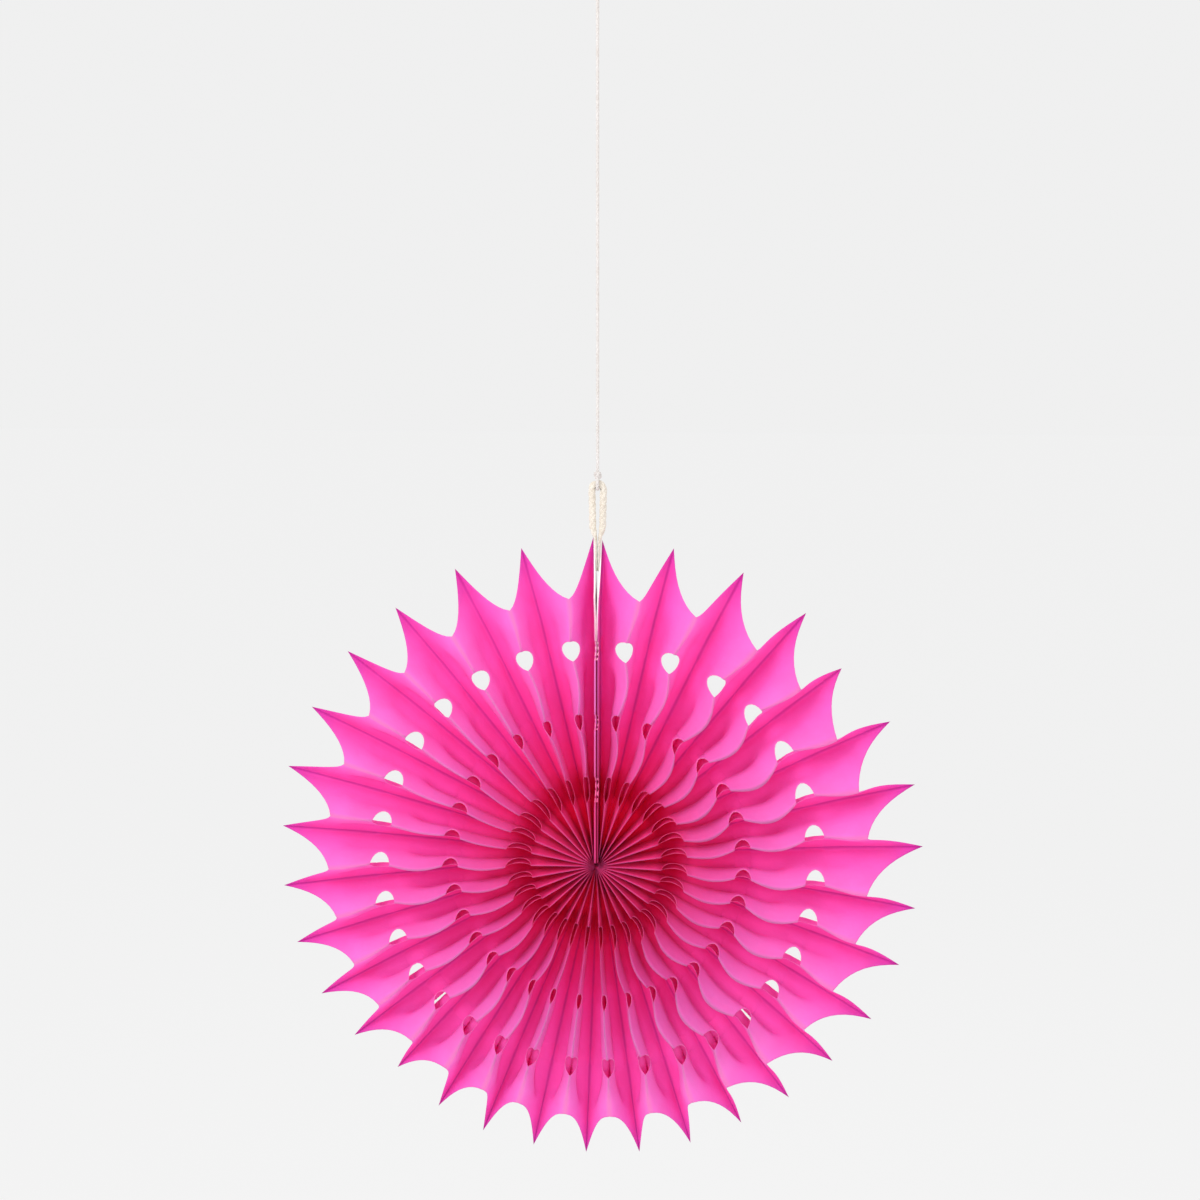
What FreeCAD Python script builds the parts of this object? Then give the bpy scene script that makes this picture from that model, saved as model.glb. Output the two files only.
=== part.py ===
import FreeCAD
import Part
import math
import os

# A tissue fan rosette: one die-cut accordion of tissue, opened into a full circle and hung on a string.
# The fan stands in the XZ plane with its face towards -Y and its seam at twelve o'clock. It is laid out
# about the hub, with Y = 0 at mid depth, and each piece is then moved so that the origin is the point
# that the rosette hangs from. Every length is in millimetres and every angle is named in degrees.

# The tissue sheet
fan_radius = 200.0          # hub centre to the tip of a petal
panel_width = 25.0          # one panel of the accordion, from back fold to front fold
pleat_count = 32            # front folds in the full circle
tissue_wall = 0.3           # measured along the circle; it stands for 0.04 mm tissue
hub_bore_radius = 3.0       # where the inner ends of the panels stop
most_wall_share = 0.35      # the most of a panel's depth that the wall takes up at the crowded hub
bunching_deg = 7.4          # the weight opens the pleats at the top and closes them at the bottom
sag_deg = 1.1               # the pleats' drift to the left at the bottom
# How far the front folds bulge clockwise between the die cuts, at each eighth of the circle from the seam.
# They bulge mostly down, as the slack sheet sags.
bulges = (3.0, 7.5, 5.5, 7.5, 0.5, -5.0, -3.0, -0.5)

# The die cuts in the front folds: each is a rounded notch in the folded stack, and opens into an eye
ring_radius = 48.0
ring_half_length = 8.0
ring_depth = 10.5
inner_eye_radius = 90.0
inner_eye_half_length = 5.0
inner_eye_depth = 7.5
outer_eye_radius = 134.0
outer_eye_half_length = 6.0
outer_eye_depth = 8.5
scallop_radius = 166.0      # where a front fold ends, at the bottom of a scallop
scallop_roundness = 0.66    # 0 for a straight cut from the scallop to the petal's tip
notch_steps = 5
scallop_steps = 5

# The two end cards and the adhesive that closes the fan
card_thickness = 0.9
adhesive_thickness = 0.3
adhesive_width = 9.0
adhesive_length = 40.0
adhesive_setback = 4.5      # from mid depth towards the back, where no die cut reaches
card_bend_radius = 153.0    # the cards bend away from the seam beyond this radius
tip_spread = 1.6            # how far each card has bent away at its tip

# The thread that ties the inner ends together
thread_diameter = 1.0
thread_clearance = 0.3

# The hanging loop: a doubled cotton cord, its ends pressed flat between the card tips
loop_cord_diameter = 4.4
loop_height = 35.0          # from the petal tips to the top of the loop
loop_setback = 5.5          # from mid depth towards the back, where the tips are
tongue_length = 26.0
tongue_width = 6.0
tongue_rise = 3.0           # from the petal tips to the top of the pressed part
noose_clearance = 0.25
leg_gap = 0.3               # between the two legs of a doubled cord, at their feet

# The string
string_diameter = 2.0
string_length = 322.0       # straight, between its two knots
knot_height = 5.0           # its width follows from this and the string's diameter
top_loop_radius = 7.0
top_loop_height = 20.0      # from the top knot to the centre of the loop's bend

half_pitch = math.pi / pleat_count
seam_half_gap = adhesive_thickness / 2
string_radius = string_diameter / 2
loop_cord_radius = loop_cord_diameter / 2
loop_arch_radius = loop_cord_radius + string_radius + noose_clearance
crown_z = fan_radius + loop_height - loop_cord_radius
hitch_knot_z = crown_z + loop_arch_radius + knot_height / 2 - string_radius
string_start_z = hitch_knot_z + knot_height / 2
string_end_z = string_start_z + string_length
top_knot_z = string_end_z + knot_height / 2
top_loop_z = top_knot_z + knot_height / 2 + top_loop_height
hang_z = top_loop_z + top_loop_radius - string_radius


def vector(x, y, z):
    return FreeCAD.Vector(x, y, z)


def mixed(start, end, share):
    return start + (end - start) * share


def fold_depth(radius):
    """Front fold to back fold: a panel of fixed width gets shallower as the fan spreads."""
    return math.sqrt(panel_width ** 2 - (radius * half_pitch) ** 2)


def wall_depth(radius):
    """How deep the wall is at a fold, measured from front to back."""
    share = tissue_wall / (radius * half_pitch)
    return fold_depth(radius) * min(share, most_wall_share)


def notch(centre, half_length, depth):
    """Stations along one die cut, as (radius, reach): reach is 1 on the fold and less where it is cut."""
    made = []
    for step in range(notch_steps + 1):
        turn = math.pi * step / notch_steps
        radius = centre - half_length * math.cos(turn)
        cut = depth * math.sin(turn) if 0 < step < notch_steps else 0
        made.append((radius, 1 - cut / fold_depth(radius)))
    return made


def between(low, high, count):
    """Stations on the whole fold between two die cuts."""
    return [(mixed(low, high, (step + 1) / (count + 1)), 1.0) for step in range(count)]


def die_profile():
    """The front edge of a folded panel from the hub to the petal's tip, as (radius, reach)."""
    made = [(hub_bore_radius, 1.0)]
    made += between(hub_bore_radius, ring_radius - ring_half_length, 1)
    made += notch(ring_radius, ring_half_length, ring_depth)
    made += between(ring_radius + ring_half_length, inner_eye_radius - inner_eye_half_length, 2)
    made += notch(inner_eye_radius, inner_eye_half_length, inner_eye_depth)
    made += between(inner_eye_radius + inner_eye_half_length, outer_eye_radius - outer_eye_half_length, 2)
    made += notch(outer_eye_radius, outer_eye_half_length, outer_eye_depth)
    made += between(outer_eye_radius + outer_eye_half_length, scallop_radius, 1)
    for step in range(scallop_steps + 1):
        cut = step / scallop_steps
        bow = cut * (1 - scallop_roundness * (1 - cut))
        made.append((scallop_radius + (fan_radius - scallop_radius) * bow, 1 - cut))
    return made


def card_spread(radius):
    """How far a card has bent away from the seam at this radius."""
    return tip_spread * max(0.0, radius - card_bend_radius) / (fan_radius - card_bend_radius)


def card_face(radius):
    """The x of the right card's outer face, which the end panel is glued to."""
    return seam_half_gap + card_thickness + card_spread(radius)


def wave(radius):
    """The front folds wave between the die cuts, which hold them back: 0 at a cut, 1 half way to the next."""
    centres = [ring_radius, inner_eye_radius, outer_eye_radius, 2 * scallop_radius - outer_eye_radius]
    for low, high in zip(centres, centres[1:]):
        if low < radius < high:
            return math.sin(math.pi * (radius - low) / (high - low)) ** 1.5 * min(1, radius / inner_eye_radius)
    return 0.0


def bulge_at(turn):
    """The bulge at a place on the circle, smooth between the eighths."""
    place = turn / (math.pi / 4) % 8
    step = int(place)
    share = (1 - math.cos(math.pi * (place - step))) / 2
    return bulges[step] * (1 - share) + bulges[(step + 1) % 8] * share


def fold_angle(fold, radius):
    """The angle of a fold, clockwise from the seam. Even folds are at the back and odd ones in front."""
    turn = math.pi * fold / pleat_count
    angle = turn + math.radians(bunching_deg) * math.sin(turn)
    angle += math.radians(sag_deg) * (1 - math.cos(turn))
    if fold % 2:
        angle += bulge_at(turn) * wave(radius) / radius
    seam = math.asin((card_face(radius) + tissue_wall) / radius)
    return seam + angle * (1 - seam / math.pi)


def fold_points(line, radius):
    """The outer and the inner point of the sheet's section at one of its lines, from edge to edge."""
    half_depth = fold_depth(radius) / 2
    wall = wall_depth(radius)
    last = 2 * pleat_count + 2
    if line in (0, last):
        side = 1 if line == 0 else -1
        near = side * card_face(radius)
        far = near + side * tissue_wall
        return vector(far, -half_depth, radius), vector(near, -half_depth, radius)
    if line in (1, last - 1):
        side = 1 if line == 1 else -1
        near = side * card_face(radius)
        far = near + side * tissue_wall
        return vector(near, half_depth, radius), vector(far, half_depth - wall, radius)
    angle = fold_angle(line - 1, radius)
    x = radius * math.sin(angle)
    z = radius * math.cos(angle)
    side = 1 if line % 2 else -1
    return vector(x, side * half_depth, z), vector(x, side * (half_depth - wall), z)


class Skin:
    """A closed skin of flat triangles, made into one solid."""

    def __init__(self):
        self.points = []
        self.places = {}
        self.triangles = []

    def place(self, point):
        key = (round(point.x, 6), round(point.y, 6), round(point.z, 6))
        if key not in self.places:
            self.places[key] = len(self.points)
            self.points.append(point)
        return self.places[key]

    def quad(self, corners, turned):
        ring = [self.place(point) for point in corners]
        if turned:
            ring.reverse()
        for triangle in ((ring[0], ring[1], ring[2]), (ring[0], ring[2], ring[3])):
            if len(set(triangle)) == 3:
                self.triangles.append(triangle)

    def solid(self):
        shape = Part.Shape()
        shape.makeShapeFromMesh((self.points, self.triangles), 0.0001, False)
        return Part.Solid(Part.Shell(shape.Faces))


def panel_section(front, back, reach):
    """Four points of a panel's section: its two faces at the back fold and at the front edge."""
    back_outer, back_inner = back
    front_outer, front_inner = front
    near = mixed(back_inner, front_outer, reach)
    far = mixed(back_outer, front_inner, reach)
    return back_inner, near, far, back_outer


def pleated_tissue():
    """The whole sheet: an end panel glued to each card, and the accordion between them."""
    skin = Skin()
    profile = die_profile()
    last = 2 * pleat_count + 2
    for line in range(last):
        turned = line % 2 == 0
        front_line = line if turned else line + 1
        back_line = line + 1 if turned else line
        free_edge = front_line in (0, last)
        sections = []
        for radius, reach in profile:
            front = fold_points(front_line, radius)
            back = fold_points(back_line, radius)
            sections.append(panel_section(front, back, reach))
        first = sections[0]
        skin.quad((first[3], first[2], first[1], first[0]), turned)
        for step in range(len(profile) - 1):
            near = sections[step]
            far = sections[step + 1]
            skin.quad((near[0], near[1], far[1], far[0]), turned)
            skin.quad((near[3], far[3], far[2], near[2]), turned)
            if free_edge or min(profile[step][1], profile[step + 1][1]) < 1:
                skin.quad((near[1], near[2], far[2], far[1]), turned)
    return skin.solid()


def prism(points, direction):
    return Part.Face(Part.makePolygon(points + points[:1])).extrude(direction)


def end_card(side):
    """A card of the panel's own die-cut outline, bent outwards beyond the outer eye."""
    profile = die_profile()
    outline = []
    for radius, reach in profile:
        outline.append(vector(0, fold_depth(radius) * (0.5 - reach), radius))
    for radius, reach in reversed(profile[:-1]):
        outline.append(vector(0, fold_depth(radius) / 2, radius))
    plate = prism(outline, vector(panel_width, 0, 0))
    bent = []
    for radius in (0.0, card_bend_radius, fan_radius + tip_spread):
        bent.append(vector(seam_half_gap + card_spread(radius), -panel_width, radius))
    for radius in (fan_radius + tip_spread, card_bend_radius, 0.0):
        bent.append(vector(card_face(radius), -panel_width, radius))
    card = plate.common(prism(bent, vector(0, 2 * panel_width, 0)))
    if side < 0:
        card = card.mirror(vector(0, 0, 0), vector(1, 0, 0))
    return card.Solids[0]


def adhesive_strip(low):
    """Double-sided tape between the two cards, from this radius outwards."""
    corner = vector(-seam_half_gap, adhesive_setback - adhesive_width / 2, low)
    return Part.makeBox(adhesive_thickness, adhesive_width, adhesive_length, corner)


def hub_thread():
    ring_middle = hub_bore_radius - thread_clearance - thread_diameter / 2
    return Part.makeTorus(ring_middle, thread_diameter / 2, vector(0, 0, 0), vector(0, 1, 0))


def doubled_cord(foot_x, foot_z, bend_z, bend_radius, cord_radius):
    """A cord up one leg, round a bend and down the other leg, in the plane that the string hangs in."""
    rise = bend_z - foot_z
    tilt = math.atan2(rise, foot_x) - math.acos(bend_radius / math.hypot(foot_x, rise))
    touch_x = bend_radius * math.cos(tilt)
    touch_z = bend_z - bend_radius * math.sin(tilt)
    left_foot = vector(-foot_x, loop_setback, foot_z)
    left_leg = vector(-touch_x, loop_setback, touch_z) - left_foot
    right_foot = vector(foot_x, loop_setback, foot_z)
    right_leg = vector(touch_x, loop_setback, touch_z) - right_foot
    section = Part.Face(Part.Wire(Part.makeCircle(cord_radius, left_foot + left_leg, left_leg)))
    bend_centre = vector(0, loop_setback, bend_z)
    bend = section.revolve(bend_centre, vector(0, 1, 0), 180 + 2 * math.degrees(tilt))
    legs = [Part.makeCylinder(cord_radius, left_leg.Length, left_foot, left_leg),
            Part.makeCylinder(cord_radius, right_leg.Length, right_foot, right_leg)]
    return bend.fuse(legs)


def hang_loop():
    """The doubled cord above the tips, and the flat tongue that the card tips hold."""
    tongue_low = fan_radius - tongue_length
    tongue_top = fan_radius + tongue_rise
    front = loop_setback - tongue_width / 2
    outline = []
    for side, heights in ((-1, (tongue_low, fan_radius)), (1, (fan_radius, tongue_low))):
        for z in heights:
            outline.append(vector(side * (seam_half_gap + card_spread(z)), front, z))
    top_half = seam_half_gap + tip_spread
    outline[2:2] = [vector(-top_half, front, tongue_top), vector(top_half, front, tongue_top)]
    tongue = prism(outline, vector(0, tongue_width, 0))
    bend_z = crown_z - loop_arch_radius
    foot_z = tongue_top - loop_cord_radius
    foot_x = loop_cord_radius + leg_gap / 2
    cord = doubled_cord(foot_x, foot_z, bend_z, loop_arch_radius, loop_cord_radius)
    return cord.fuse(tongue).Solids[0]


def knot(z):
    """A round knot on the string, with a flat end above and below as wide as the string."""
    radius = math.hypot(knot_height / 2, string_radius)
    latitude = math.degrees(math.atan2(knot_height / 2, string_radius))
    return Part.makeSphere(radius, vector(0, loop_setback, z), vector(0, 0, 1), -latitude, latitude, 360)


def string_hitch():
    """The noose round the hanging loop's crown, and its knot."""
    noose = Part.makeTorus(loop_arch_radius, string_radius, vector(0, loop_setback, crown_z), vector(1, 0, 0))
    return noose.fuse(knot(hitch_knot_z)).Solids[0]


def hanging_string():
    foot = vector(0, loop_setback, string_start_z)
    return Part.makeCylinder(string_radius, string_length, foot)


def string_top_loop():
    """The loop that goes over a hook, and the knot under it."""
    foot_z = top_knot_z + knot_height / 2 - string_radius
    foot_x = string_radius + leg_gap / 2
    cord = doubled_cord(foot_x, foot_z, top_loop_z, top_loop_radius, string_radius)
    return cord.fuse(knot(top_knot_z)).Solids[0]


def rosette():
    """Every piece by its name, laid out about the hub."""
    inner_strip = ring_radius - adhesive_length / 2
    outer_strip = outer_eye_radius - adhesive_length
    return {
        "pleated_tissue": pleated_tissue(),
        "end_card_left": end_card(-1),
        "end_card_right": end_card(1),
        "adhesive_strip_inner": adhesive_strip(inner_strip),
        "adhesive_strip_outer": adhesive_strip(outer_strip),
        "hub_thread": hub_thread(),
        "hang_loop": hang_loop(),
        "string_hitch": string_hitch(),
        "hanging_string": hanging_string(),
        "string_top_loop": string_top_loop(),
    }


os.makedirs("parts", exist_ok=True)
hang_point = vector(0, loop_setback, hang_z)
for name, shape in rosette().items():
    shape.translate(hang_point * -1)
    shape.exportStep(f"parts/{name}.step")
    box = shape.BoundBox
    print(f"{name}: valid {shape.isValid()}, solids {len(shape.Solids)}, faces {len(shape.Faces)}, "
          f"volume {shape.Volume:.1f} mm3, X {box.XMin:.1f} {box.XMax:.1f}, "
          f"Y {box.YMin:.1f} {box.YMax:.1f}, Z {box.ZMin:.1f} {box.ZMax:.1f}")
print(f"hang point {hang_z:.2f} mm above the hub, string {string_length:.1f} mm, "
      f"section times length {math.pi * string_radius ** 2 * string_length:.1f} mm3")
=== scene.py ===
import math
import random

import bmesh
import bpy
from mathutils import Matrix, Vector


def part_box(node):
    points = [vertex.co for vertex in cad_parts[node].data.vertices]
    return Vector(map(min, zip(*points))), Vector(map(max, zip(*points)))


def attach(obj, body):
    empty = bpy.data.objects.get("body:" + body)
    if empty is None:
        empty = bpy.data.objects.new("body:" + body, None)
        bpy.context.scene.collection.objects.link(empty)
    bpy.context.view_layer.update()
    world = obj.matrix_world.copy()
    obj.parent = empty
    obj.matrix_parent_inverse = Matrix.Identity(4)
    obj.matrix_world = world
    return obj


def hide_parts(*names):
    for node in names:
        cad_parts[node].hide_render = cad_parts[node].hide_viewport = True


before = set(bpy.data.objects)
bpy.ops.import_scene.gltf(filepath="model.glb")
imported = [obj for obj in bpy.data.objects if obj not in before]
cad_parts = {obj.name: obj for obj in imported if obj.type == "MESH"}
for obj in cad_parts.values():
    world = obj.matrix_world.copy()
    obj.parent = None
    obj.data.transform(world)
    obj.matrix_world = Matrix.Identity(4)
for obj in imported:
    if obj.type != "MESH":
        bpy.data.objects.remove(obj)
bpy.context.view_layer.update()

# A tissue fan rosette on a cotton string, dressed over the CAD model. Lengths are in metres.
mm = 0.001


def middle(node):
    low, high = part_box(node)
    return (Vector(low) + Vector(high)) / 2


hub = middle("hub_thread")
string_y = middle("hanging_string").y
string_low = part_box("hanging_string")[0][2]
string_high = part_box("hanging_string")[1][2]

# The camera, above the rosette's middle and a little to its right
view_rise = math.radians(18.7)
view_turn = math.radians(3.6)
view_distance = 1.2
view_width = 0.74
face_in_front_of_hub = 12.5 * mm
aim_right = 2.6 * mm
aim_up = 163.9 * mm


def place_camera():
    """Stands on the line of sight to the hub, and looks higher, so that the string is in the view too."""
    towards = Vector((math.sin(view_turn) * math.cos(view_rise),
                      -math.cos(view_turn) * math.cos(view_rise),
                      math.sin(view_rise)))
    right = Vector((math.cos(view_turn), math.sin(view_turn), 0))
    hub_face = hub + Vector((0, -face_in_front_of_hub, 0))
    place = hub_face + towards * view_distance
    aim = hub_face + right * aim_right + towards.cross(right) * aim_up
    camera = bpy.data.cameras.new("camera")
    camera.sensor_width = 36
    camera.lens = 36 * view_distance / view_width
    camera.clip_start = 0.05
    camera.clip_end = 50
    holder = bpy.data.objects.new("camera", camera)
    holder.location = place
    holder.rotation_euler = (aim - place).to_track_quat("-Z", "Y").to_euler()
    bpy.context.scene.collection.objects.link(holder)
    bpy.context.scene.camera = holder


place_camera()
bpy.context.scene.view_settings.view_transform = "Standard"


# Meshes

def piece(bm, name, finish, smooth=True):
    """Turns a finished bmesh into a piece that hangs on the part's one body."""
    mesh = bpy.data.meshes.new(name)
    bm.to_mesh(mesh)
    bm.free()
    made = bpy.data.objects.new(name, mesh)
    bpy.context.scene.collection.objects.link(made)
    mesh.materials.append(finish)
    if smooth:
        mesh.polygons.foreach_set("use_smooth", [True] * len(mesh.polygons))
    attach(made, "root")
    return made


# Materials
white = (1.0, 1.0, 1.0)


def finish(name):
    """A new material with its node tree, its shader and its output."""
    made = bpy.data.materials.new(name)
    made.use_nodes = True
    tree = made.node_tree
    return made, tree, tree.nodes["Principled BSDF"], tree.nodes["Material Output"]


def add(tree, kind, **settings):
    node = tree.nodes.new(kind)
    for key, value in settings.items():
        setattr(node, key, value)
    return node


def math_node(tree, operation, first, second=None, third=None, clamp=False):
    node = add(tree, "ShaderNodeMath", operation=operation, use_clamp=clamp)
    for socket, value in zip(node.inputs, (first, second, third)):
        if value is None:
            continue
        if isinstance(value, (int, float)):
            socket.default_value = value
        else:
            tree.links.new(value, socket)
    return node.outputs[0]


def ramp(tree, value, stops, interpolation="LINEAR"):
    node = add(tree, "ShaderNodeValToRGB")
    node.color_ramp.interpolation = interpolation
    points = node.color_ramp.elements
    while len(points) < len(stops):
        points.new(0.5)
    for point, (place, colour) in zip(points, stops):
        point.position = place
        point.color = (*colour, 1) if isinstance(colour, tuple) else (colour, colour, colour, 1)
    tree.links.new(value, node.inputs[0])
    return node.outputs[0]


def mix_colour(tree, share, first, second, blend="MIX"):
    node = add(tree, "ShaderNodeMix", data_type="RGBA", blend_type=blend)
    for socket, value in ((node.inputs[0], share), (node.inputs[6], first), (node.inputs[7], second)):
        if isinstance(value, (int, float)):
            socket.default_value = value
        elif isinstance(value, tuple):
            socket.default_value = (*value, 1)
        else:
            tree.links.new(value, socket)
    return node.outputs[2]


def noise(tree, place, scale, detail=2.0, roughness=0.5):
    node = add(tree, "ShaderNodeTexNoise")
    node.inputs["Scale"].default_value = scale
    node.inputs["Detail"].default_value = detail
    node.inputs["Roughness"].default_value = roughness
    tree.links.new(place, node.inputs["Vector"])
    return node.outputs[0]


def bump(tree, height, strength, distance, under=None):
    node = add(tree, "ShaderNodeBump")
    node.inputs["Strength"].default_value = strength
    node.inputs["Distance"].default_value = distance
    tree.links.new(height, node.inputs["Height"])
    if under is not None:
        tree.links.new(under, node.inputs["Normal"])
    return node.outputs[0]


def object_place(tree):
    return add(tree, "ShaderNodeTexCoord").outputs["Object"]


def from_hub(tree):
    """Object coordinates measured from the hub, in metres."""
    node = add(tree, "ShaderNodeMapping")
    node.inputs["Location"].default_value = (-hub.x, -hub.y, -hub.z)
    tree.links.new(object_place(tree), node.inputs["Vector"])
    return node.outputs[0]


def parts_of(tree, vector):
    node = add(tree, "ShaderNodeSeparateXYZ")
    tree.links.new(vector, node.inputs[0])
    return node.outputs


def outward_share(tree, place):
    """The distance from the hub's axis: 0 at the hub and 1 at the tips."""
    x, y, z = parts_of(tree, place)
    squares = math_node(tree, "ADD", math_node(tree, "MULTIPLY", x, x), math_node(tree, "MULTIPLY", z, z))
    radius = math_node(tree, "SQRT", squares)
    return math_node(tree, "DIVIDE", radius, fan_radius * mm, clamp=True)


def dyed_tissue_painted_shade():
    """Hot pink tissue, purplish at the tips, with painted shade: crimson where light has passed through it
    many times, and a painted highlight along its front folds.
    """
    made, tree, shader, output = finish("dyed_tissue_painted_shade")
    place = from_hub(tree)
    outward = outward_share(tree, place)
    # Colour by distance from the hub. The pink is the dye and the purplish tips are the dye. The deeper
    # crimson towards the hub and the darker ring over the first die cuts (0.205 to 0.24) are painted shade.
    along = ramp(tree, outward, [
        (0.00, (0.99, 0.060, 0.360)),
        (0.18, (0.99, 0.070, 0.390)),
        (0.205, (0.82, 0.020, 0.200)),
        (0.24, (0.84, 0.030, 0.240)),
        (0.30, (0.99, 0.160, 0.620)),
        (0.45, (0.99, 0.220, 0.800)),
        (0.68, (0.99, 0.290, 0.900)),
        (0.88, (0.99, 0.290, 0.920)),
        (1.00, (0.82, 0.140, 0.800)),
    ])
    x, y, z = parts_of(tree, place)
    # Painted shade: below the hub the pleats get darker and more crimson towards the hub, as they hang
    # closed.
    low = math_node(tree, "MULTIPLY", z, -1 / (low_shade_full_below * mm), clamp=True)
    painted_low_shade = ramp(tree, outward, [(0.2, (0.94, 0.60, 0.80)), (0.45, (0.98, 0.85, 0.92)), (0.6, white)])
    along = mix_colour(tree, low, along, painted_low_shade, "MULTIPLY")
    # Painted shade: darker and more crimson towards the back folds, deep in the pleats.
    front = math_node(tree, "MULTIPLY_ADD", y, -1 / (panel_width * mm), 0.5, clamp=True)
    painted_fold_shade = ramp(tree, front, [(0.0, (1.0, 0.34, 0.70)), (0.5, (1.0, 0.72, 0.90)), (0.8, white)])
    colour = mix_colour(tree, 1.0, along, painted_fold_shade, "MULTIPLY")
    mottle = ramp(tree, noise(tree, place, 55.0, 3.0, 0.55), [(0.3, (0.99, 0.86, 0.91)), (0.7, white)])
    colour = mix_colour(tree, 1.0, colour, mottle, "MULTIPLY")
    across = parts_of(tree, add(tree, "ShaderNodeUVMap", uv_map="sheet").outputs[0])[0]
    off_fold = math_node(tree, "PINGPONG", math_node(tree, "MULTIPLY", across, float(line_count)), 1.0)
    # Painted highlight: a lighter pink line along each front fold, where the folded edge would catch the
    # light.
    painted_ridge_highlight = ramp(tree, off_fold, [(0.0, 0.75), (0.035, 0.5), (0.08, 0.0)])
    edge = ramp(tree, outward, [
        (0.0, (1.0, 0.12, 0.42)), (0.25, (1.0, 0.20, 0.56)), (0.5, (1.0, 0.38, 0.80))])
    colour = mix_colour(tree, painted_ridge_highlight, colour, edge)
    # Painted shade: a darker purplish line along each back fold.
    painted_valley_shade = ramp(tree, off_fold, [(0.93, white), (0.99, (0.88, 0.58, 0.84))])
    colour = mix_colour(tree, 1.0, colour, painted_valley_shade, "MULTIPLY")
    # Painted shade: a dark line just right of the seam above the hub, where the gap between the two end
    # cards lies.
    beside = math_node(tree, "MULTIPLY_ADD", x, 1 / (2 * seam_reach * mm), 0.5, clamp=True)
    painted_seam_shade = ramp(tree, beside, [
        (0.50, white), (0.53, (0.32, 0.01, 0.07)), (0.70, (0.32, 0.01, 0.07)), (0.76, white)])
    above = math_node(tree, "GREATER_THAN", z, 0.0)
    colour = mix_colour(tree, above, colour, painted_seam_shade, "MULTIPLY")
    tree.links.new(colour, shader.inputs["Base Color"])
    shader.inputs["Roughness"].default_value = 0.62
    shader.inputs["Specular IOR Level"].default_value = 0.15
    shader.inputs["Sheen Weight"].default_value = 0.06
    shader.inputs["Sheen Roughness"].default_value = 0.5
    shader.inputs["Sheen Tint"].default_value = (1.0, 0.55, 0.85, 1)
    crinkle = bump(tree, noise(tree, place, 90.0, 4.0, 0.6), 0.35, 0.0012)
    fibre = bump(tree, noise(tree, place, 900.0, 2.0, 0.6), 0.15, 0.0002, crinkle)
    tree.links.new(fibre, shader.inputs["Normal"])
    through = add(tree, "ShaderNodeBsdfTranslucent")
    glow = mix_colour(tree, 1.0, colour, (1.0, 0.20, 0.66), "MULTIPLY")
    tree.links.new(glow, through.inputs["Color"])
    tree.links.new(fibre, through.inputs["Normal"])
    both = add(tree, "ShaderNodeMixShader")
    both.inputs[0].default_value = 0.48
    tree.links.new(shader.outputs[0], both.inputs[1])
    tree.links.new(through.outputs[0], both.inputs[2])
    tree.links.new(both.outputs[0], output.inputs["Surface"])
    return made


def cotton(name, colour, shade, fibre_scale):
    """Twisted cotton: soft, matt, darker between the strands, with fine fibres."""
    made, tree, shader, output = finish(name)
    place = object_place(tree)
    fibres = noise(tree, place, fibre_scale, 4.0, 0.65)
    blotch = noise(tree, place, 120.0, 2.0)
    tone = ramp(tree, fibres, [(0.3, shade), (0.62, colour)])
    soil = ramp(tree, blotch, [(0.35, (0.94, 0.92, 0.90)), (0.6, white)])
    tree.links.new(mix_colour(tree, 1.0, tone, soil, "MULTIPLY"), shader.inputs["Base Color"])
    shader.inputs["Roughness"].default_value = 0.85
    shader.inputs["Specular IOR Level"].default_value = 0.15
    shader.inputs["Sheen Weight"].default_value = 0.25
    shader.inputs["Sheen Roughness"].default_value = 0.6
    tree.links.new(bump(tree, fibres, 0.5, 0.0003), shader.inputs["Normal"])
    return made


def end_board():
    """White board, tinged pink nearer the hub, deepening to crimson at the hub."""
    made, tree, shader, output = finish("end_board")
    place = from_hub(tree)
    tinge = ramp(tree, outward_share(tree, place), [
        (0.0, (0.80, 0.08, 0.24)), (0.3, (0.90, 0.16, 0.40)), (0.6, (0.92, 0.26, 0.50)),
        (0.76, (0.92, 0.62, 0.70)), (0.88, (0.92, 0.89, 0.87))])
    fibres = noise(tree, place, 1400.0, 3.0, 0.6)
    grey = ramp(tree, fibres, [(0.3, (0.92, 0.91, 0.90)), (0.65, white)])
    tree.links.new(mix_colour(tree, 1.0, tinge, grey, "MULTIPLY"), shader.inputs["Base Color"])
    shader.inputs["Roughness"].default_value = 0.75
    shader.inputs["Specular IOR Level"].default_value = 0.25
    tree.links.new(bump(tree, fibres, 0.25, 0.0002), shader.inputs["Normal"])
    return made


def tape():
    """Milky double-sided tape."""
    made, tree, shader, output = finish("double_sided_tape")
    cloud = noise(tree, object_place(tree), 300.0, 2.0)
    tree.links.new(ramp(tree, cloud, [(0.3, (0.84, 0.80, 0.70)), (0.7, (0.92, 0.90, 0.84))]),
                   shader.inputs["Base Color"])
    shader.inputs["Roughness"].default_value = 0.35
    tree.links.new(bump(tree, cloud, 0.1, 0.0002), shader.inputs["Normal"])
    return made


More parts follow.
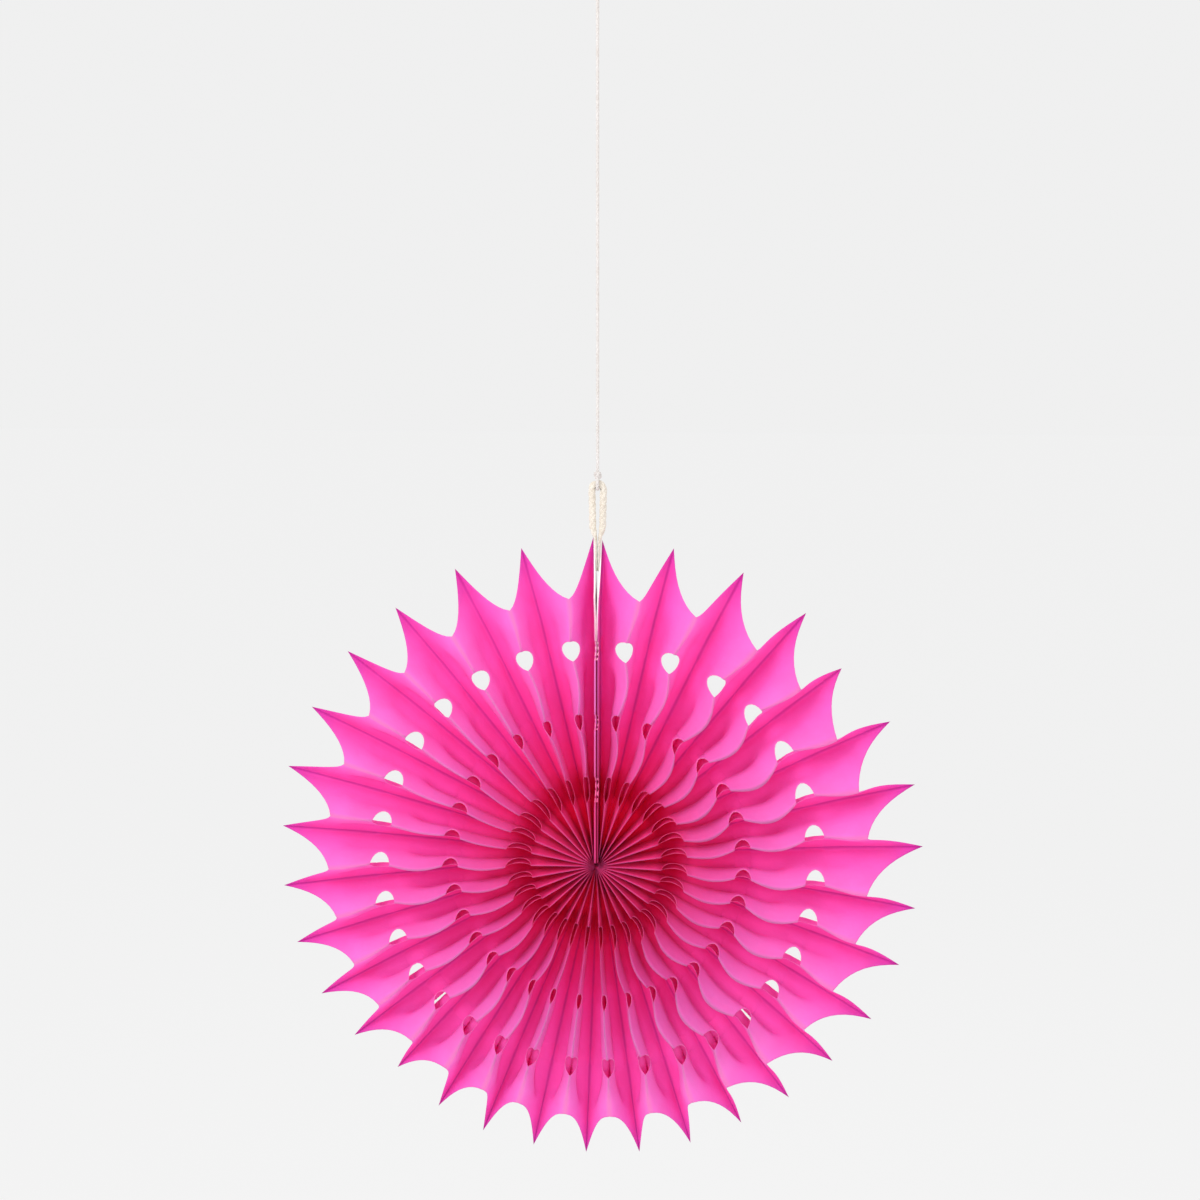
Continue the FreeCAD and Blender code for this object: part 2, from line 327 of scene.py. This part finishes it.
# The tissue sheet: the same fan as in the CAD source, with finer rows and softer folds
fan_radius = 200.0
panel_width = 25.0
pleat_count = 32
hub_draw = 1.7              # how close the inner ends of the panels are drawn together
card_face_flat = 1.05       # the outer face of a card, from the seam
card_spread_tip = 1.6
card_bend_radius = 153.0
tissue_wall = 0.12
rim_scallop = 166.0
rim_start = 152.0
notches = ((48.0, 8.0, 10.5), (90.0, 5.0, 7.5), (134.0, 6.0, 8.5))
rim_roundness = 0.66
bulges = (3.5, 9.0, 7.0, 9.0, 0.5, -6.5, -4.5, -1.0)    # clockwise, at each eighth of the circle
wave_roundness = 1.2
wave_end = 198.0
cling_place = 0.36          # where on a panel it clings to its neighbour: 0 at the back fold, 1 at the front
cling_width = 0.14
wrap_gap = 0.12             # the first and last panels wrap round the cards' edges in the seam
wrap_proud = 0.4
wrap_overlap = 0.06
wrap_end = 128.0
wrap_fade = 22.0
seam_reach = 2.0            # half the width of the strip that the seam's shade is laid out on
low_shade_full_below = 90.0         # the painted shade on the lower pleats is full this far below the hub, where the pleats are as closed as they get
steps_across = 9
line_count = 2 * pleat_count + 2
half_pitch = math.pi / pleat_count


def row_radii():
    """The rows of the sheet: close together over the die cuts, wider between them."""
    radii = [hub_draw]
    for (centre, half_length, depth), before, across in zip(notches, (7, 9, 11), (10, 8, 10)):
        low = radii[-1]
        radii += [low + (centre - half_length - low) * (step + 1) / before for step in range(before)]
        radii += [centre - half_length * math.cos(math.pi * (step + 1) / across) for step in range(across)]
    low = radii[-1]
    return radii + [low + (rim_start - low) * (step + 1) / 4 for step in range(4)]


radii = row_radii()
rim_rows = 13


def fold_depth(radius):
    return math.sqrt(panel_width ** 2 - (radius * half_pitch) ** 2)


def reach(radius):
    """How much of a panel's depth is left at the front fold: 1 away from the die cuts."""
    for centre, half_length, depth in notches:
        along = (radius - centre) / half_length
        if abs(along) < 1:
            return 1 - depth * math.sqrt(1 - along * along) / fold_depth(radius)
    return 1.0


def card_face(radius):
    bent = max(0.0, radius - card_bend_radius) / (fan_radius - card_bend_radius)
    return card_face_flat + card_spread_tip * bent


def bunched(turn):
    """The weight opens the pleats at the top and closes them at the bottom."""
    return turn + math.radians(7.4) * math.sin(turn) + math.radians(1.1) * (1 - math.cos(turn))


def seam_share(angle, radius):
    """Leaves room for the cards at the seam."""
    seam = math.asin(min(0.95, (card_face(radius) + tissue_wall) / radius))
    return seam + angle * (1 - seam / math.pi)


def smooth(low, high, value):
    share = min(1.0, max(0.0, (value - low) / (high - low)))
    return share * share * (3 - 2 * share)


def from_ridge(forward, radius, turn, side):
    """How far a panel stands off its front fold's plane: 1 at the back fold and 0 at the front fold.

    The limp panels cling together behind the small die cuts, and at the bottom behind the large ones too.
    Elsewhere the panel on the lower side of a large die cut hangs part of the way behind it. The radii
    where this comes and goes are in millimetres, on either side of the die cuts.
    """
    low_side = max(0.0, -math.cos(turn))
    power = 1.0 + (0.35 + 0.25 * low_side) * smooth(38, 60, radius) * (1 - smooth(84, 100, radius))
    power += 0.1 * smooth(84, 100, radius)
    power -= (0.26 + 0.2 * low_side) * smooth(140, 160, radius)
    low_part = smooth(math.radians(95), math.radians(140), min(turn, math.tau - turn))
    hanging = max(0.15, 0.55 * side * math.sin(turn))
    outer = (hanging + (1 - hanging) * low_part) * (1 - smooth(148, 166, radius))
    cling = 1 - smooth(104, 122, radius) * (1 - outer)
    pocket = min(1.0, 1.1 * math.exp(-((forward - cling_place) / cling_width) ** 2))
    return (1 - forward) ** power * (1 - cling * pocket)


class Handling:
    """Small unevenness from folding and opening by hand, the same on every run."""

    def __init__(self):
        chance = random.Random(11)
        self.angle = [math.radians(chance.gauss(0, 0.32)) for _ in range(line_count + 1)]
        self.tip = [chance.uniform(-2.2, 0.4) for _ in range(line_count + 1)]
        self.lean = [chance.gauss(1.05, 0.15) for _ in range(line_count + 1)]
        self.bow = [chance.gauss(0, 0.7) for _ in range(line_count + 1)]
        self.phase = [chance.uniform(0, math.tau) for _ in range(line_count + 1)]
        for line in (0, 1, line_count - 1, line_count):
            self.angle[line] = 0
            self.bow[line] = 0
        # Two tips that stand clearly short of the others
        self.tip[1 + 2 * 4] = -9.0
        self.tip[1 + 2 * 20] = -7.0


handling = Handling()


def line_angle(line, radius):
    turn = math.pi * (line - 1) / pleat_count
    share = radius / fan_radius
    return seam_share(bunched(turn), radius) + handling.angle[line] * min(1.0, 1.6 * share)


def wave(radius):
    """The front folds run straight over the hub and wave between the die cuts, which hold them back."""
    centres = [notch[0] for notch in notches] + [wave_end]
    for low, high in zip(centres, centres[1:]):
        if low < radius < high:
            swell = math.sin(math.pi * (radius - low) / (high - low)) ** wave_roundness
            return swell * min(1, radius / notches[1][0])
    return 0.0


def bulge_at(line, radius):
    """How far a front fold bulges clockwise, in millimetres: mostly down, as the slack sheet sags."""
    place = (line - 1) / pleat_count * 4 % 8
    step = int(place)
    share = (1 - math.cos(math.pi * (place - step))) / 2
    bulge = bulges[step] * (1 - share) + bulges[(step + 1) % 8] * share
    return bulge * handling.lean[line] * wave(radius)


def sheet_point(column, row, from_left):
    """Where a corner of the flat grid lies on the folded sheet, from the hub, in millimetres."""
    panel = column // steps_across
    local = (column % steps_across) / steps_across
    if local == 0 and from_left:
        panel -= 1
        local = 1.0
    last_panel = line_count - 1
    wrapped = False
    if panel in (0, last_panel):
        step = round(local * steps_across)
        if panel == last_panel:
            step = steps_across - step
        wrapped = step == 0
        local = max(0, step - 1) / (steps_across - 1)
        if panel == last_panel:
            local = 1 - local
    back, front = (panel, panel + 1) if panel % 2 else (panel + 1, panel)
    share = local if front > back else 1 - local
    tip_length = fan_radius + handling.tip[back] - rim_scallop
    rim = rim_scallop + tip_length * (1 - share) * (1 - rim_roundness * share)
    if row < len(radii):
        radius = radii[row]
    else:
        radius = rim_start + (rim - rim_start) * (row - len(radii) + 1) / rim_rows
    depth = fold_depth(radius)
    forward = share * reach(radius)
    y = depth / 2 - forward * depth
    if panel in (0, last_panel):
        side = 1 if panel == 0 else -1
        x = side * (card_face(radius) + tissue_wall / 2)
        if wrapped:
            tucked = min(1.0, max(0.0, (radius - wrap_end) / wrap_fade))
            x = side * (wrap_gap + (card_face(radius) - wrap_overlap) * tucked)
            y -= wrap_proud
        return Vector((x, y, radius))
    side = 1 if back > front else -1
    spread = 1 - from_ridge(forward, radius, math.pi * (front - 1) / pleat_count, side)
    valley = line_angle(back, radius)
    ridge = line_angle(front, radius)
    angle = valley + (ridge - valley) * spread
    angle += bulge_at(front, radius) / radius * forward ** 2
    y += handling.bow[front] * forward * math.sin(radius / 26 + handling.phase[front]) * min(1, radius / 60)
    y = max(-panel_width / 2, min(panel_width / 2, y))
    return Vector((radius * math.sin(angle), y, radius * math.cos(angle)))


def fold_the_tissue():
    """One flat grid, cut along the front folds at the die cuts, then folded and opened into a disc."""
    columns = line_count * steps_across
    rows = len(radii) - 1 + rim_rows
    bm = bmesh.new()
    bm.loops.layers.uv.new("sheet")
    bmesh.ops.create_grid(bm, x_segments=columns, y_segments=rows, size=0.5, calc_uvs=True)

    def place_of(vert):
        return round((vert.co.x + 0.5) * columns), round((vert.co.y + 0.5) * rows)

    cuts = []
    for edge in bm.edges:
        (column_a, row_a), (column_b, row_b) = place_of(edge.verts[0]), place_of(edge.verts[1])
        if column_a != column_b or column_a % (2 * steps_across) or max(row_a, row_b) >= len(radii):
            continue
        if reach((radii[row_a] + radii[row_b]) / 2) < 1:
            cuts.append(edge)
    bmesh.ops.split_edges(bm, edges=cuts)
    moved = {}
    for vert in bm.verts:
        column, row = place_of(vert)
        faces_x = sum(face.calc_center_median().x for face in vert.link_faces) / len(vert.link_faces)
        from_left = faces_x < vert.co.x - 1e-6 or column == columns
        moved[vert] = sheet_point(column, row, from_left)
    for vert, place in moved.items():
        vert.co = hub + place * mm
    bmesh.ops.recalc_face_normals(bm, faces=bm.faces)
    made = piece(bm, "tissue_sheet", dyed_tissue_painted_shade())
    wall = made.modifiers.new("wall", "SOLIDIFY")
    wall.thickness = tissue_wall * mm
    wall.offset = 0
    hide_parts("pleated_tissue")
    return made


# The cords

def twisted_cord(radius, length, lay, strands=3, steps_a_turn=14, section_steps=24):
    """A straight laid cord on the Z axis: a lobed section, turned as it rises."""
    bm = bmesh.new()
    bmesh.ops.create_circle(bm, segments=section_steps, radius=radius)
    for vert in bm.verts:
        turn = math.atan2(vert.co.y, vert.co.x)
        lobe = abs(math.cos(turn * strands / 2)) ** 0.6
        vert.co *= 0.74 + 0.26 * lobe
    steps = max(4, round(length / lay * steps_a_turn))
    ring = list(bm.edges)
    bmesh.ops.spin(bm, geom=ring, cent=(0, 0, 0), axis=(0, 0, 1), angle=math.tau * length / lay,
                   dvec=(0, 0, length / steps), steps=steps, use_merge=False)
    bmesh.ops.holes_fill(bm, edges=[edge for edge in bm.edges if edge.is_boundary])
    bmesh.ops.recalc_face_normals(bm, faces=bm.faces)
    return bm


def bend_along(bm, path, length):
    """Bends a straight cord that starts at Z = 0 along a path, given as points that are close together."""
    lengths = [0.0]
    for before, after in zip(path, path[1:]):
        lengths.append(lengths[-1] + (after - before).length)
    frames = []
    side = None
    for index, point in enumerate(path):
        ahead = path[min(index + 1, len(path) - 1)] - path[max(index - 1, 0)]
        ahead.normalize()
        if side is None:
            side = ahead.orthogonal().normalized()
        side = (side - ahead * side.dot(ahead)).normalized()
        frames.append((point, side.copy(), ahead.cross(side)))
    for vert in bm.verts:
        along = max(0.0, min(lengths[-1], vert.co.z * lengths[-1] / length))
        index = 0
        low, high = 0, len(lengths) - 1
        while high - low > 1:
            index = (low + high) // 2
            if lengths[index] <= along:
                low = index
            else:
                high = index
        share = (along - lengths[low]) / max(1e-9, lengths[high] - lengths[low])
        point = frames[low][0].lerp(frames[high][0], share)
        across = frames[low][1].lerp(frames[high][1], share)
        other = frames[low][2].lerp(frames[high][2], share)
        vert.co = point + across * vert.co.x + other * vert.co.y
    return bm


def path_length(path):
    return sum((after - before).length for before, after in zip(path, path[1:]))


def laid_along(path, radius, lays, **steps):
    """A twisted cord with so many lays in all, bent along a path."""
    length = path_length(path)
    return bend_along(twisted_cord(radius, length, length / lays, **steps), path, length)


def arc(centre, radius, start, end, steps, flat="XZ"):
    """Points on an arc about a centre, from one angle to another in degrees."""
    points = []
    for step in range(steps + 1):
        turn = math.radians(start + (end - start) * step / steps)
        a, b = radius * math.cos(turn), radius * math.sin(turn)
        points.append(centre + (Vector((a, 0, b)) if flat == "XZ" else Vector((0, a, b))))
    return points


def line(start, end, steps):
    return [start.lerp(end, step / steps) for step in range(steps + 1)]


def overhand(centre, width, height):
    """The centreline of a small pulled-down knot."""
    points = []
    for step in range(73):
        t = math.tau * step / 72
        x = math.sin(t) + 2 * math.sin(2 * t)
        y = math.cos(t) - 2 * math.cos(2 * t)
        z = -math.sin(3 * t)
        points.append(centre + Vector((x * width / 6, y * width / 6, z * height / 2)))
    return points


white_cotton = cotton("white_cotton_string", (0.78, 0.75, 0.73), (0.56, 0.51, 0.49), 1500.0)
cream_cotton = cotton("cream_cotton_cord", (0.82, 0.77, 0.69), (0.60, 0.53, 0.44), 1200.0)
string_radius = 1.0 * mm
string_lay = 9 * mm
loop_cord_radius = 2.2 * mm
loop_arch_radius = 3.45 * mm
crown_z = hub.z + 232.8 * mm
tip_z = hub.z + fan_radius * mm


# The string's route, the same points as in the CAD source, and its smooth line
string_route = [(0, string_y, string_low), (0, string_y, (string_low + string_high) / 2),
                (0, string_y, string_high)]


def smooth_line(route):
    """The points of the NURBS line that a route's points control."""
    curve = bpy.data.curves.new("route", "CURVE")
    curve.dimensions = "3D"
    spline = curve.splines.new("NURBS")
    spline.points.add(len(route) - 1)
    for point, place in zip(spline.points, route):
        point.co = (*place, 1)
    spline.order_u = 3
    spline.use_endpoint_u = True
    holder = bpy.data.objects.new("route", curve)
    mesh = bpy.data.meshes.new_from_object(holder)
    points = [vert.co.copy() for vert in mesh.vertices]
    bpy.data.objects.remove(holder)
    bpy.data.curves.remove(curve)
    bpy.data.meshes.remove(mesh)
    return points


string_line = smooth_line(string_route)


def hanging_string():
    """The taut string, three strands, between its two knots."""
    length = path_length(string_line)
    bm = bend_along(twisted_cord(string_radius, length, string_lay, steps_a_turn=16), string_line, length)
    made = piece(bm, "cotton_string", white_cotton)
    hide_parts("hanging_string")
    return made


def small_knot(z):
    path = overhand(Vector((0, string_y, z)), 3.4 * mm, 2.6 * mm)
    return laid_along(path, string_radius * 0.95, 4, steps_a_turn=24)


def stem(z):
    """A short straight piece of string that runs up through a knot."""
    bm = twisted_cord(string_radius, 5 * mm, string_lay)
    bmesh.ops.translate(bm, vec=(0, string_y, z), verts=bm.verts)
    return bm


def noose_and_knot():
    """The string round the hanging loop's crown, and the knot above it."""
    centre = Vector((0, string_y, crown_z))
    ring = arc(centre, loop_arch_radius, 90, 450, 48, "YZ")
    noose = laid_along(ring, string_radius, 3, steps_a_turn=20)
    knot = small_knot(string_low - 2.5 * mm)
    return join_cords((noose, knot, stem(string_low - 4.9 * mm)), "string_noose", "string_hitch")


def join_cords(cords, name, node):
    bm = bmesh.new()
    for each in cords:
        mesh = bpy.data.meshes.new("strand")
        each.to_mesh(mesh)
        each.free()
        bm.from_mesh(mesh)
        bpy.data.meshes.remove(mesh)
    made = piece(bm, name, white_cotton)
    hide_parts(node)
    return made


def top_loop():
    """The loop that goes over a hook, and the knot under it."""
    top = Vector((0, string_y, -6 * mm))
    foot = Vector((0, string_y, string_high + 4 * mm))
    right = [foot + Vector((1.15 * mm, 0, 0)), top + Vector((6.72 * mm, 0, -1.97 * mm))]
    left = [top + Vector((-6.72 * mm, 0, -1.97 * mm)), foot + Vector((-1.15 * mm, 0, 0))]
    bend = arc(top, 7 * mm, -16.3, 196.3, 40)
    path = line(right[0], right[1], 20)[:-1] + bend + line(left[0], left[1], 20)[1:]
    length = path_length(path)
    loop = bend_along(twisted_cord(string_radius, length, string_lay, steps_a_turn=16), path, length)
    knot = small_knot(string_high + 2.5 * mm)
    return join_cords((loop, knot, stem(string_high - 0.1 * mm)), "string_eye", "string_top_loop")


def hanging_loop():
    """The doubled soft cord above the tips, its ends pressed flat between the card tips."""
    bend = Vector((0, string_y, crown_z - loop_arch_radius))
    foot_x = 2.35 * mm
    foot_z = tip_z - 20 * mm
    right = line(Vector((foot_x, string_y, foot_z)), bend + Vector((loop_arch_radius, 0, 0)), 30)
    left = [Vector((-point.x, point.y, point.z)) for point in reversed(right)]
    path = right[:-1] + arc(bend, loop_arch_radius, 0, 180, 30) + left[1:]
    length = path_length(path)
    bm = twisted_cord(loop_cord_radius, length, 15 * mm, steps_a_turn=20, section_steps=30)
    bend_along(bm, path, length)
    for vert in bm.verts:
        pressed = min(1.0, max(0.0, (tip_z + 7 * mm - vert.co.z) / (10 * mm)))
        pressed = pressed * pressed * (3 - 2 * pressed)
        spread = (vert.co.z - (tip_z - 47 * mm)) / (47 * mm) * card_spread_tip * mm
        room = 0.12 * mm + max(0.0, min(card_spread_tip * mm, spread))
        squeeze = 1 + (room / (foot_x + loop_cord_radius) - 1) * pressed
        vert.co.x *= squeeze
        vert.co.y = string_y + (vert.co.y - string_y) * (1 + 0.3 * pressed)
    made = piece(bm, "cord_loop", cream_cotton)
    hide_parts("hang_loop")
    return made


# The studio

def stage_finish(name, colour):
    """A pale surface that the camera sees as nearly white, and that keeps the object's shadow."""
    made, tree, shader, output = finish(name)
    shader.inputs["Base Color"].default_value = (*colour, 1)
    shader.inputs["Roughness"].default_value = 0.9
    shader.inputs["Specular IOR Level"].default_value = 0.1
    paper = add(tree, "ShaderNodeEmission")
    paper.inputs["Strength"].default_value = 0.882
    rays = add(tree, "ShaderNodeLightPath")
    seen = math_node(tree, "MAXIMUM", rays.outputs["Is Camera Ray"], rays.outputs["Is Glossy Ray"])
    seen = math_node(tree, "MAXIMUM", seen, rays.outputs["Is Transmission Ray"])
    both = add(tree, "ShaderNodeMixShader")
    tree.links.new(math_node(tree, "MULTIPLY", seen, 0.9), both.inputs[0])
    tree.links.new(shader.outputs[0], both.inputs[1])
    tree.links.new(paper.outputs[0], both.inputs[2])
    tree.links.new(both.outputs[0], output.inputs["Surface"])
    return made


def studio():
    floor_z = hub.z - 1.0
    bm = bmesh.new()
    bmesh.ops.create_grid(bm, x_segments=1, y_segments=1, size=12)
    bmesh.ops.translate(bm, vec=(0, 0, floor_z), verts=bm.verts)
    mesh = bpy.data.meshes.new("floor")
    bm.to_mesh(mesh)
    bm.free()
    mesh.materials.append(stage_finish("pale_floor", (0.93, 0.93, 0.93)))
    floor = bpy.data.objects.new("floor", mesh)
    bpy.context.scene.collection.objects.link(floor)
    lamp("key_softbox", (-1.5, -1.7, hub.z + 1.7), 1.3, 36)
    lamp("fill_softbox", (1.7, -2.0, hub.z + 0.4), 1.6, 12)
    lamp("back_softbox", (0.3, 1.6, hub.z + 1.2), 1.4, 14)
    world = bpy.data.worlds.new("studio_air")
    bpy.context.scene.world = world
    world.use_nodes = True
    tree = world.node_tree
    air = tree.nodes["Background"]
    air.inputs["Color"].default_value = (1, 1, 1, 1)
    air.inputs["Strength"].default_value = 0.87


def lamp(name, place, size, watts):
    light = bpy.data.lights.new(name, "AREA")
    light.shape = "SQUARE"
    light.size = size
    light.energy = watts
    holder = bpy.data.objects.new(name, light)
    holder.location = place
    holder.rotation_euler = (hub - Vector(place)).to_track_quat("-Z", "Y").to_euler()
    bpy.context.scene.collection.objects.link(holder)


def dress_nodes():
    """The CAD pieces whose shapes are right get their finishes."""
    board = end_board()
    milky = tape()
    thread = cotton("sewing_thread", (0.90, 0.86, 0.84), (0.66, 0.58, 0.56), 2600.0)
    for node, made in (("end_card_left", board), ("end_card_right", board), ("adhesive_strip_inner", milky),
                       ("adhesive_strip_outer", milky), ("hub_thread", thread)):
        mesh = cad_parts[node].data
        mesh.materials.clear()
        mesh.materials.append(made)


string = hanging_string()
noose = noose_and_knot()
eye = top_loop()
hanging_loop()
fold_the_tissue()
dress_nodes()
studio()
